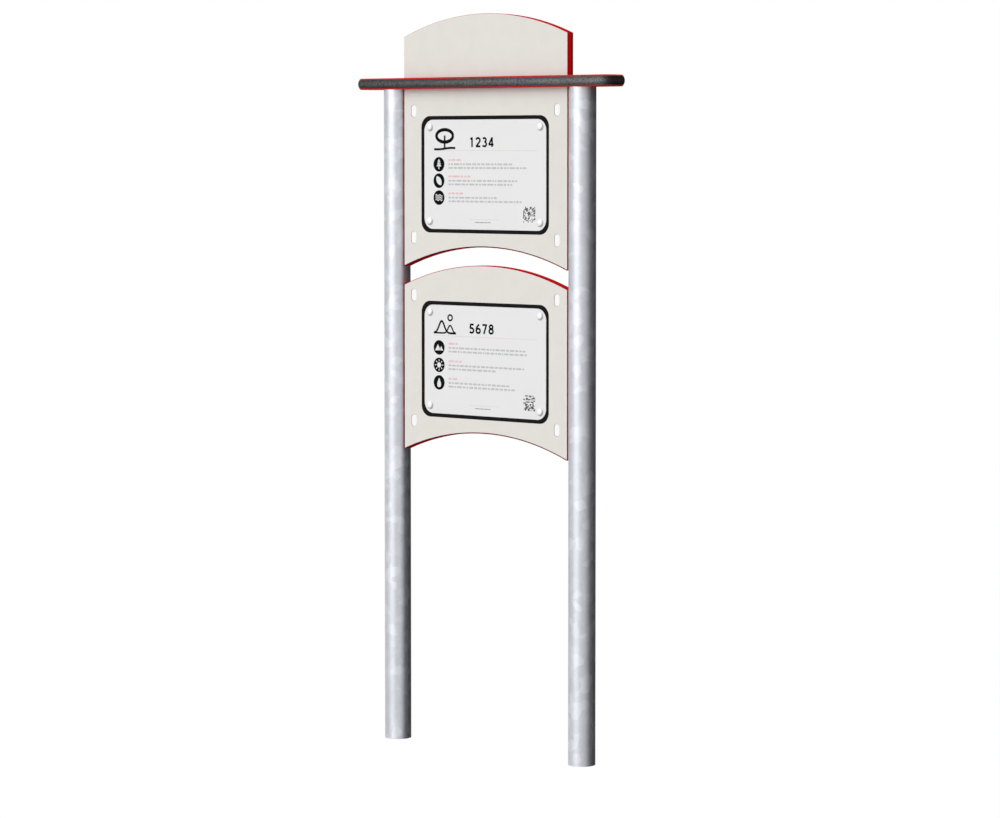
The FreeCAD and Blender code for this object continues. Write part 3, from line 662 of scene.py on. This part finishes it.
def waves_sign():
    """Three wavy bands, with edges at level + 0.1 * sin(10 x), half a band's height up and down."""
    steps = np.linspace(-0.62, 0.62, 32)
    half = 0.075
    waves = []
    for level in (0.3, 0.0, -0.3):
        crest = level + 0.1 * np.sin(steps * 10)
        lower, upper = (np.stack([steps, crest + off], axis=1) for off in (-half, half))
        waves.append(np.concatenate([lower, upper[::-1]]))
    return [np.array(waves)]


SIGNS = {"upper": (tree_sign, leaf_sign, waves_sign), "lower": (peaks_sign, sun_sign, drop_sign)}


def tree_drawing():
    """A broad tree on rolling ground, whose level is -0.032 + 0.002 * sin(60 x).

    Like the other drawing, it is pairs of path and width, about the drawing's middle.
    """
    along = np.linspace(-0.04, 0.04, 41)
    ground = np.stack([along, -0.032 + 0.002 * np.sin(along * 60)], axis=1)
    trunk = straight((0.0, -0.032), (0.0, 0.005))
    return [(sweep(0.0, 0.004, 0.031, 0.0175, steps=61), 0.0095), (trunk, 0.006), (ground, 0.006)]


def hills_drawing():
    """Two hills, each foot + height * exp(-((x - top) / half) ** 2), and a sun."""
    along = np.linspace(-0.042, 0.042, 61)

    def hill(top, half, height):
        return np.stack([along, -0.03 + height * np.exp(-((along - top) / half) ** 2)], axis=1)

    near, far = hill(-0.012, 0.014, 0.034), hill(0.02, 0.011, 0.022)
    return [(near, 0.0058), (far, 0.0046), (sweep(0.02, 0.014, 0.008, 0.008, steps=61), 0.0048)]


DRAWINGS = {"upper": tree_drawing, "lower": hills_drawing}

# Middle lines of the digits' strokes, in a box 1 high and DIGIT_WIDTH wide
DIGIT_WIDTH = 0.6
SIX = (sweep(0.3, 0.3, 0.235, 0.225), sweep(0.565, 0.3, 0.5, 0.66, 180, 106))
DIGITS = {
    "0": (sweep(0.3, 0.5, 0.235, 0.425),),
    "1": (straight((0.34, 0), (0.34, 1)), straight((0.14, 0.8), (0.36, 0.95))),
    "2": (sweep(0.29, 0.69, 0.225, 0.235, 168, -35), straight((0.49, 0.57), (0.06, 0.06)),
          straight((0.02, 0.075), (0.56, 0.075))),
    "3": (sweep(0.27, 0.735, 0.195, 0.19, 150, -90), sweep(0.27, 0.305, 0.235, 0.23, 90, -150)),
    "4": (straight((0.42, 0), (0.42, 1)), straight((0.42, 0.96), (0.04, 0.26)),
          straight((0, 0.26), (0.6, 0.26))),
    "5": (straight((0.13, 0.925), (0.53, 0.925)), straight((0.17, 0.98), (0.11, 0.5)),
          sweep(0.27, 0.315, 0.245, 0.24, 132, -150)),
    "6": SIX,
    "7": (straight((0.03, 0.925), (0.57, 0.925)), straight((0.52, 0.96), (0.2, 0))),
    "8": (sweep(0.3, 0.745, 0.19, 0.185), sweep(0.3, 0.3, 0.235, 0.225)),
    "9": tuple(np.array([DIGIT_WIDTH, 1]) - path for path in SIX),
}


class SIGN_OT_boards(bpy.types.Operator):
    """Finishes the two arched boards, pale outside and red inside"""

    bl_idname = "sign.boards"
    bl_label = "Boards"

    def execute(self, context):
        dress(board_finish(context.scene.sign_finish), *each_station("board"))
        return {"FINISHED"}


class SIGN_OT_roof(bpy.types.Operator):
    """Finishes the roof board, red over a dark core"""

    bl_idname = "sign.roof"
    bl_label = "Roof board"

    def execute(self, context):
        dress(roof_finish(context.scene.sign_finish), "roof_board")
        return {"FINISHED"}


class SIGN_OT_posts(bpy.types.Operator):
    """Finishes the galvanised posts with their plugs, and the duller lugs"""

    bl_idname = "sign.posts"
    bl_label = "Posts"

    def execute(self, context):
        colours = context.scene.sign_finish
        dress(zinc_finish("zinc_finish", colours, 0.9, 0.34), "left_post", "right_post", "post_top_plugs")
        dress(zinc_finish("lug_finish", colours, 0.5, 0.46), "left_lugs", "right_lugs")
        return {"FINISHED"}


class SIGN_OT_plates(bpy.types.Operator):
    """Finishes the plates and their dark frames"""

    bl_idname = "sign.plates"
    bl_label = "Plates and frames"

    def execute(self, context):
        colours = context.scene.sign_finish
        dress(plate_finish(colours), *each_station("info_plate"))
        dress(frame_finish(colours), *each_station("plate_frame"))
        return {"FINISHED"}


class SIGN_OT_fittings(bpy.types.Operator):
    """Finishes caps, bolts, nuts, washers, screws and inserts"""

    bl_idname = "sign.fittings"
    bl_label = "Caps and fasteners"

    def execute(self, context):
        colours = context.scene.sign_finish
        dress(cap_finish(colours), *each_station("screw_caps", "fixing_caps"))
        steel = turned_metal("steel_finish", colours.steel, 0.26)
        dress(steel, "roof_bolts", *each_station(
            "plate_screws", "board_bolts", "front_washers", "back_washers", "lock_nuts"))
        dress(turned_metal("brass_finish", colours.brass, 0.3), *each_station("plate_inserts"))
        return {"FINISHED"}


class SIGN_OT_rules(bpy.types.Operator):
    """Prints the pale rule across each plate and the short one at its foot"""

    bl_idname = "sign.rules"
    bl_label = "Rules"

    def execute(self, context):
        marks, colours = context.scene.sign_print, context.scene.sign_finish
        pale = ink("pale_ink", colours.ink_pale)
        top_rule = (-marks.left, marks.rule_level, marks.left + marks.right)
        bars = round_bars(*zip(top_rule, FOOT_RULE), marks.rule_height)
        for station in STATIONS:
            stamp(station, "rules", bars, pale, marks.ink_depth)
        return {"FINISHED"}


class SIGN_OT_text_bars(bpy.types.Operator):
    """Prints three rows of bars on each plate, a heading and two lines beside each disc"""

    bl_idname = "sign.text_bars"
    bl_label = "Text bars"

    def execute(self, context):
        marks, colours = context.scene.sign_print, context.scene.sign_finish
        grey = ink("grey_ink", colours.ink_grey)
        red = ink("red_ink", colours.ink_red)
        draw = np.random.default_rng(TEXT_SEED)
        for station in STATIONS:
            headings, lines = [], []
            for level, (heading, *ends) in zip(ROW_LEVELS[station], LINE_ENDS[station]):
                starts, widths = words(-marks.row_left, heading, marks.word_gap, draw)
                headings.append(round_bars(starts, level + HEADING_RISE, widths, marks.heading_height))
                for rise, end in zip(LINE_RISES, ends):
                    starts, widths = words(-marks.row_left, end, marks.word_gap, draw)
                    lines.append(round_bars(starts, level + rise, widths, marks.bar_height))
            stamp(station, "headings", np.concatenate(headings), red, marks.ink_depth)
            stamp(station, "lines", np.concatenate(lines), grey, marks.ink_depth)
        return {"FINISHED"}


class SIGN_OT_pictograms(bpy.types.Operator):
    """Prints three dark discs on each plate, each with a pale generic sign"""

    bl_idname = "sign.pictograms"
    bl_label = "Pictograms"

    def execute(self, context):
        marks, colours = context.scene.sign_print, context.scene.sign_finish
        dark = ink("disc_ink", colours.ink_dark)
        pale = ink("sign_ink", colours.plate)
        for station in STATIONS:
            centres = np.array([(-marks.disc_inset, level) for level in ROW_LEVELS[station]])
            stamp(station, "discs", discs(centres, marks.disc_radius), dark, marks.ink_depth)
            groups = [
                stamped(station, outlines * marks.disc_radius + centre, marks.ink_depth, marks.ink_depth)
                for sign, centre in zip(SIGNS[station], centres)
                for outlines in sign()
            ]
            settle(skin(f"{station}_signs", *groups), pale)
        return {"FINISHED"}


class SIGN_OT_drawings(bpy.types.Operator):
    """Prints a plain line drawing in the upper left corner of each plate"""

    bl_idname = "sign.drawings"
    bl_label = "Drawings"

    def execute(self, context):
        marks, colours = context.scene.sign_print, context.scene.sign_finish
        dark = ink("drawing_ink", colours.ink_dark)
        for station in STATIONS:
            lines = [(path + np.array(DRAWING_PLACE), width) for path, width in DRAWINGS[station]()]
            settle(skin(f"{station}_drawing", *strokes(station, lines, marks.ink_depth)), dark)
        return {"FINISHED"}


class SIGN_OT_tiles(bpy.types.Operator):
    """Prints a tile of scattered squares, with no meaning, in the lower right corner of each plate"""

    bl_idname = "sign.tiles"
    bl_label = "Patterned tiles"

    def execute(self, context):
        marks, colours = context.scene.sign_print, context.scene.sign_finish
        dark = ink("tile_ink", colours.ink_soft)
        cells = marks.tile_cells
        side = marks.tile_size / cells
        square = np.array([(0, 0), (side, 0), (side, side), (0, side)])
        corner = np.array(TILE_PLACE) - marks.tile_size / 2
        draw = np.random.default_rng(TILE_SEED)
        for station in STATIONS:
            filled = np.argwhere(draw.random((cells, cells)) < TILE_FILL) * side
            stamp(station, "tile", filled[:, None] + square + corner, dark, marks.ink_depth)
        return {"FINISHED"}


class SIGN_OT_numbers(bpy.types.Operator):
    """Prints a plain number at the top of each plate, and a row of small bars at its foot"""

    bl_idname = "sign.numbers"
    bl_label = "Numbers"

    def execute(self, context):
        marks, colours = context.scene.sign_print, context.scene.sign_finish
        dark = ink("number_ink", colours.ink_dark)
        soft = ink("small_ink", tuple(sum(pair) / 2 for pair in zip(colours.ink_soft, colours.ink_grey)))
        texts = {"upper": marks.upper_number, "lower": marks.lower_number}
        stroke = marks.number_stroke
        for station in STATIONS:
            wide = (marks.number_width + stroke) / len(texts[station]) - stroke
            size = np.array([wide / DIGIT_WIDTH, marks.number_height])
            groups = []
            for place, digit in enumerate(texts[station]):
                corner = np.array(NUMBER_CORNER) + np.array([place * (wide + stroke), 0.0])
                lines = [(corner + path * size, stroke) for path in DIGITS[digit]]
                groups += strokes(station, lines, marks.ink_depth)
            settle(skin(f"{station}_number", *groups), dark)
            draw = np.random.default_rng(SMALL_PRINT_SEED)
            starts, widths = words(*SMALL_PRINT_ENDS, SMALL_PRINT_GAP, draw)
            small = round_bars(starts, SMALL_PRINT_LEVEL, widths, SMALL_PRINT_HEIGHT)
            stamp(station, "small_print", small, soft, marks.ink_depth)
        return {"FINISHED"}


# From the middle of a plate to the middles of the lugs above and below it, their height, and what a bead
# leaves free at each end
LUG_REACH = 0.18
LUG_HEIGHT = 0.05
BEAD_MARGIN = 0.001


class SIGN_OT_welds(bpy.types.Operator):
    """Lays the weld beads between lugs and posts, behind the boards"""

    bl_idname = "sign.welds"
    bl_label = "Weld beads"

    def execute(self, context):
        radius = context.scene.sign_print.weld_radius
        zinc = bpy.data.materials["lug_finish"]
        steps, around = 96, 14
        along = np.linspace(0, 1, steps)
        turn = np.linspace(0, FULL_TURN, around, endpoint=False)
        # A bead's radius ripples 15 times along it, and closes at its ends as a superellipse does
        ripple = 0.95 + 0.1 * np.abs(np.sin(along * math.pi * 15))
        closing = np.maximum(0.04, 1 - np.abs(2 * along - 1) ** 12) ** 0.5
        size = radius * ripple * closing
        lift = BEAD_MARGIN - LUG_HEIGHT / 2 + along * (LUG_HEIGHT - 2 * BEAD_MARGIN)
        reaches = np.array([-LUG_REACH, LUG_REACH])
        levels = np.concatenate([face_of(station)[2] + reaches for station in STATIONS])
        for side, inward in (("left", 1.0), ("right", -1.0)):
            post_low, post_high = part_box(f"{side}_post")
            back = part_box(f"{side}_lugs")[1].y
            tube = (post_high.x - post_low.x) / 2
            edge = (post_low.x + post_high.x) / 2 + inward * math.sqrt(tube ** 2 - back ** 2)
            rings = np.empty((len(levels), steps, around, 3))
            rings[..., 0] = edge + size[:, None] * np.cos(turn)
            rings[..., 1] = back - size[:, None] * np.sin(turn) * 0.9
            rings[..., 2] = levels[:, None, None] + lift[:, None]
            piece = skin(f"{side}_weld_beads", rings)
            piece.data.shade_smooth()
            settle(piece, zinc)
        return {"FINISHED"}


# Each lamp's turn from the sign's front to its right, its rise and its spread, in degrees
LAMPS = {"key": (-10, 30, 75), "fill": (84, 15, 60), "back": (186, 35, 75)}
# Where the flag starts and ends, in degrees from the sign's front to its right, and its number of faces
FLAG_TURNS = (60, 222)
FLAG_FACES = 81
# Levels of the flag's foot and top, in its radii
FLAG_LEVELS = (-1.0, 2.0)
# Places along Y between which the flag darkens, and its light there
FLAG_FADE = (-0.65, 0.4)
FLAG_GLOW = (0.9, 0.01)
# The floor's own grey, and its light where it is seen as white
FLOOR_GREY = 0.5
FLOOR_LIGHT = 1.05


class SIGN_OT_stage(bpy.types.Operator):
    """Sets up floor, lamps, white surroundings and camera"""

    bl_idname = "sign.stage"
    bl_label = "Stage"

    def execute(self, context):
        studio = context.scene.sign_studio
        self.floor(context, studio)
        self.world(context, studio)
        self.flag(context, studio)
        for name, angles in LAMPS.items():
            self.lamp(context, name, getattr(studio, name), *angles)
        self.camera(context, studio)
        context.scene.view_settings.view_transform = "Standard"
        return {"FINISHED"}

    def seen(self, tree):
        """Is 1 for rays that show the surroundings: straight, mirrored or through a clear surface."""
        path = add_node(tree, "LightPath").outputs
        kinds = ("Camera", "Glossy", "Transmission")
        return join(tree, "MAXIMUM", *(path[f"Is {kind} Ray"] for kind in kinds))

    def switch(self, tree, level, first, second, output):
        """Joins two shaders to the output: the first where the level is 0, and the second where it is 1."""
        both = add_node(tree, "MixShader")
        for socket, value in zip(both.inputs, (level, first.outputs[0], second.outputs[0])):
            feed(tree, socket, value)
        feed(tree, tree.nodes[output].inputs["Surface"], both.outputs[0])

    def backdrop(self, context, name, points, faces):
        """Adds a mesh with a new material, and gives the object and the material's node tree."""
        mesh = bpy.data.meshes.new(name)
        mesh.from_pydata(points, [], faces)
        material = bpy.data.materials.new(f"{name}_finish")
        material.use_nodes = True
        mesh.materials.append(material)
        made = bpy.data.objects.new(name, mesh)
        context.scene.collection.objects.link(made)
        return made, material.node_tree

    def floor(self, context, studio):
        """A pale floor that keeps a soft share of the shadows and is otherwise seen as white.

        Mirrors don't see it, so that the posts stay as bright down to the ground.
        """
        half = studio.floor_size / 2
        corners = [(-half, -half, 0), (half, -half, 0), (half, half, 0), (-half, half, 0)]
        floor, tree = self.backdrop(context, "floor", corners, [(0, 1, 2, 3)])
        floor.visible_glossy = False
        matt = tree.nodes["Principled BSDF"]
        matt.inputs["Base Color"].default_value = (FLOOR_GREY, FLOOR_GREY, FLOOR_GREY, 1)
        matt.inputs["Roughness"].default_value = 0.9
        matt.inputs["Specular IOR Level"].default_value = 0.0
        glow = add_node(tree, "Emission", Strength=FLOOR_LIGHT)
        share = join(tree, "MULTIPLY", self.seen(tree), studio.floor_glow)
        self.switch(tree, share, matt, glow, "Material Output")

    def world(self, context, studio):
        """Surroundings that are seen as white and light the sign evenly by their lower share."""
        world = bpy.data.worlds.new("surroundings")
        world.use_nodes = True
        tree = world.node_tree
        white = tree.nodes["Background"]
        dim = add_node(tree, "Background")
        for shader, strength in ((white, 1.0), (dim, studio.sky)):
            shader.inputs["Color"].default_value = (1, 1, 1, 1)
            shader.inputs["Strength"].default_value = strength
        self.switch(tree, self.seen(tree), dim, white, "World Output")
        context.scene.world = world

    def flag(self, context, studio):
        """A curved flag round the sign's right and back, which only mirrors see and which darkens backwards.

        Its points are radius * (sin t, -cos t), with t from the sign's front round to its right.
        """
        turn = np.radians(np.linspace(*FLAG_TURNS, FLAG_FACES + 1))
        points = np.empty((2, len(turn), 3))
        points[..., :2] = studio.flag_radius * np.stack([np.sin(turn), -np.cos(turn)], axis=1)
        points[..., 2] = studio.flag_radius * np.array(FLAG_LEVELS)[:, None]
        index = np.arange(points.size // 3).reshape(2, -1)
        quads = np.stack([index[0, :-1], index[0, 1:], index[1, 1:], index[1, :-1]], axis=1)
        flag, tree = self.backdrop(context, "flag", points.reshape(-1, 3).tolist(), quads.tolist())
        for kind in ("camera", "diffuse", "transmission", "volume_scatter", "shadow"):
            setattr(flag, f"visible_{kind}", False)
        axes = add_node(tree, "SeparateXYZ", Vector=add_node(tree, "TexCoord").outputs["Object"]).outputs
        fade = add_node(tree, "MapRange", Value=axes["Y"], From_Min=FLAG_FADE[0], From_Max=FLAG_FADE[1],
                        To_Min=FLAG_GLOW[0], To_Max=FLAG_GLOW[1])
        glow = add_node(tree, "Emission", Strength=fade.outputs[0])
        feed(tree, tree.nodes["Material Output"].inputs["Surface"], glow.outputs[0])

    def lamp(self, context, name, strength, turn, rise, spread):
        """A broad distant light. The back one makes no highlights."""
        light = bpy.data.lights.new(f"{name}_lamp", "SUN")
        light.energy = strength
        light.angle = math.radians(spread)
        lamp = bpy.data.objects.new(f"{name}_lamp", light)
        context.scene.collection.objects.link(lamp)
        lamp.rotation_euler = (math.radians(90 - rise), 0, math.radians(turn))
        lamp.visible_glossy = name != "back"

    def camera(self, context, studio):
        data = bpy.data.cameras.new("camera")
        data.lens = studio.lens
        data.sensor_width = 36
        data.sensor_fit = "HORIZONTAL"
        data.shift_y = studio.shift
        camera = bpy.data.objects.new("camera", data)
        camera.location = studio.camera_place
        camera.rotation_euler = (math.pi / 2 - studio.camera_fall, 0, studio.camera_turn)
        context.scene.collection.objects.link(camera)
        context.scene.camera = camera


class SIGN_PT_sidebar(bpy.types.Panel):
    bl_label = "Park Sign"
    bl_idname = "SIGN_PT_sidebar"
    bl_space_type = "VIEW_3D"
    bl_region_type = "UI"
    bl_category = "Sign"

    def draw(self, context):
        for operator in OPERATORS:
            self.layout.operator(operator.bl_idname)
        for group in (context.scene.sign_finish, context.scene.sign_print, context.scene.sign_studio):
            box = self.layout.box()
            for name in group.__annotations__:
                box.prop(group, name)


GROUPS = (SignFinish, SignPrint, SignStudio)
OPERATORS = (
    SIGN_OT_boards, SIGN_OT_roof, SIGN_OT_posts, SIGN_OT_plates, SIGN_OT_fittings, SIGN_OT_rules,
    SIGN_OT_text_bars, SIGN_OT_pictograms, SIGN_OT_drawings, SIGN_OT_tiles, SIGN_OT_numbers, SIGN_OT_welds,
    SIGN_OT_stage,
)


def register():
    for item in (*GROUPS, *OPERATORS, SIGN_PT_sidebar):
        bpy.utils.register_class(item)
    bpy.types.Scene.sign_finish = PointerProperty(type=SignFinish)
    bpy.types.Scene.sign_print = PointerProperty(type=SignPrint)
    bpy.types.Scene.sign_studio = PointerProperty(type=SignStudio)


def unregister():
    del bpy.types.Scene.sign_finish, bpy.types.Scene.sign_print, bpy.types.Scene.sign_studio
    for item in reversed((*GROUPS, *OPERATORS, SIGN_PT_sidebar)):
        bpy.utils.unregister_class(item)


def main():
    register()
    for operator in OPERATORS:
        group, name = operator.bl_idname.split(".")
        result = getattr(getattr(bpy.ops, group), name)()
        if result != {"FINISHED"}:
            raise RuntimeError(f"{operator.bl_label} was not finished")


if __name__ == "__main__":
    main()
